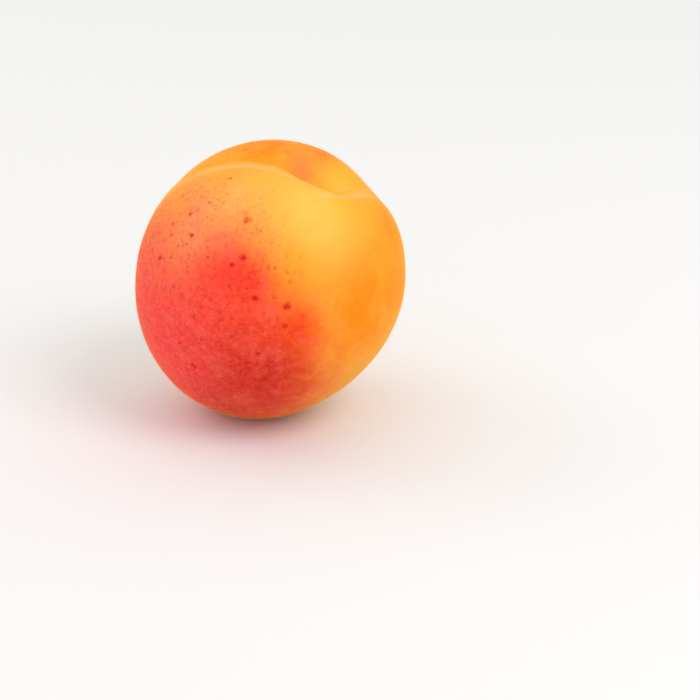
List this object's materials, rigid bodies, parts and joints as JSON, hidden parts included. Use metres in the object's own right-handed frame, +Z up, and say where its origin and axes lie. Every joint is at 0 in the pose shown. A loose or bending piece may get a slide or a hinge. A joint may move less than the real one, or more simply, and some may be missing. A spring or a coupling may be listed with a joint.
{
  "type": "apricot",
  "caption": "Whole ripe apricot with a suture groove, a stem cavity between its shoulders and a blunt tip, lying with the stem end up on a small flat spot.",
  "frame": {"origin": "middle of the fruit's bounding box in X and Y, at the level of the flat spot that it rests on", "axes": "+Z up from the flat spot; the stem end leans from upright towards +X and -Y; the suture faces -X and is away from -Y"},
  "size_m": [0.0524, 0.0518, 0.0536],
  "materials": {
    "skin": "matte, with a fine down"
  },
  "bodies": {
    "root": {"apricot": "skin"}
  },
  "joints": []
}
